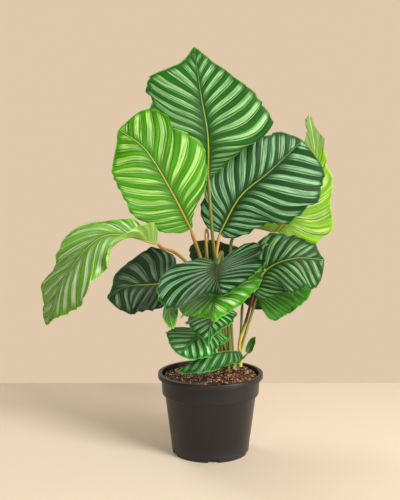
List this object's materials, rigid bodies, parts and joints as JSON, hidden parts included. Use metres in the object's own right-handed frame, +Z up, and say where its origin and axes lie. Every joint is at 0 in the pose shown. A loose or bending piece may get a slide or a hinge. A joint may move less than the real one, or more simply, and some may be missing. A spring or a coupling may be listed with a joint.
{
  "type": "potted calathea",
  "caption": "Leafy house plant with large round, striped and pleated leaves on slim stalks, growing from soil in a round black nursery pot.",
  "frame": {"origin": "centre of the pot's flat foot, on the surface that it stands on", "axes": "+Z up along the pot's axis, -Y towards the viewer that most leaves face, +X to that viewer's right"},
  "size_m": [0.5374, 0.3588, 0.7281],
  "materials": {
    "pot": "satin black, injection moulded",
    "soil": "dull potting mix of peat, bark chips and perlite",
    "leaf_dark": "satin, dark green with silver-green stripes along the side veins",
    "leaf_mid": "satin, mid green with paler stripes along the side veins",
    "leaf_bright": "satin, young bright green with pale stripes along the side veins",
    "leaf_lime": "satin, yellow-green with light behind it",
    "stalk_tan": "smooth, tan",
    "stalk_olive": "smooth, olive",
    "stalk_red": "smooth, dark reddish brown",
    "stalk_green": "smooth, yellow-green"
  },
  "bodies": {
    "root": {"pot": "pot", "soil": "soil", "leaf_01_top_stalk": "stalk_olive", "leaf_01_top_blade": "leaf_dark", "leaf_02_left_young_stalk": "stalk_tan", "leaf_02_left_young_blade": "leaf_bright", "leaf_03_right_dark_stalk": "stalk_tan", "leaf_03_right_dark_blade": "leaf_dark", "leaf_04_far_right_lime_stalk": "stalk_olive", "leaf_04_far_right_lime_blade": "leaf_lime", "leaf_05_drooping_left_stalk": "stalk_tan", "leaf_05_drooping_left_blade": "leaf_bright", "leaf_06_dark_left_stalk": "stalk_olive", "leaf_06_dark_left_blade": "leaf_dark", "leaf_07_big_front_stalk": "stalk_olive", "leaf_07_big_front_blade": "leaf_dark", "leaf_08_under_front_stalk": "stalk_olive", "leaf_08_under_front_blade": "leaf_bright", "leaf_09_drip_tip_stalk": "stalk_olive", "leaf_09_drip_tip_blade": "leaf_dark", "leaf_10_low_left_stalk": "stalk_olive", "leaf_10_low_left_blade": "leaf_mid", "leaf_11_over_soil_stalk": "stalk_green", "leaf_11_over_soil_blade": "leaf_mid", "leaf_12_right_stalk": "stalk_red", "leaf_12_right_blade": "leaf_dark", "leaf_13_under_right_stalk": "stalk_green", "leaf_13_under_right_blade": "leaf_mid", "leaf_14_back_left_stalk": "stalk_tan", "leaf_14_back_left_blade": "leaf_dark", "leaf_15_back_middle_stalk": "stalk_olive", "leaf_15_back_middle_blade": "leaf_dark", "leaf_16_small_left_stalk": "stalk_green", "leaf_16_small_left_blade": "leaf_bright", "leaf_17_small_right_stalk": "stalk_green", "leaf_17_small_right_blade": "leaf_bright", "leaf_18_low_back_right_stalk": "stalk_green", "leaf_18_low_back_right_blade": "leaf_dark"}
  },
  "joints": []
}
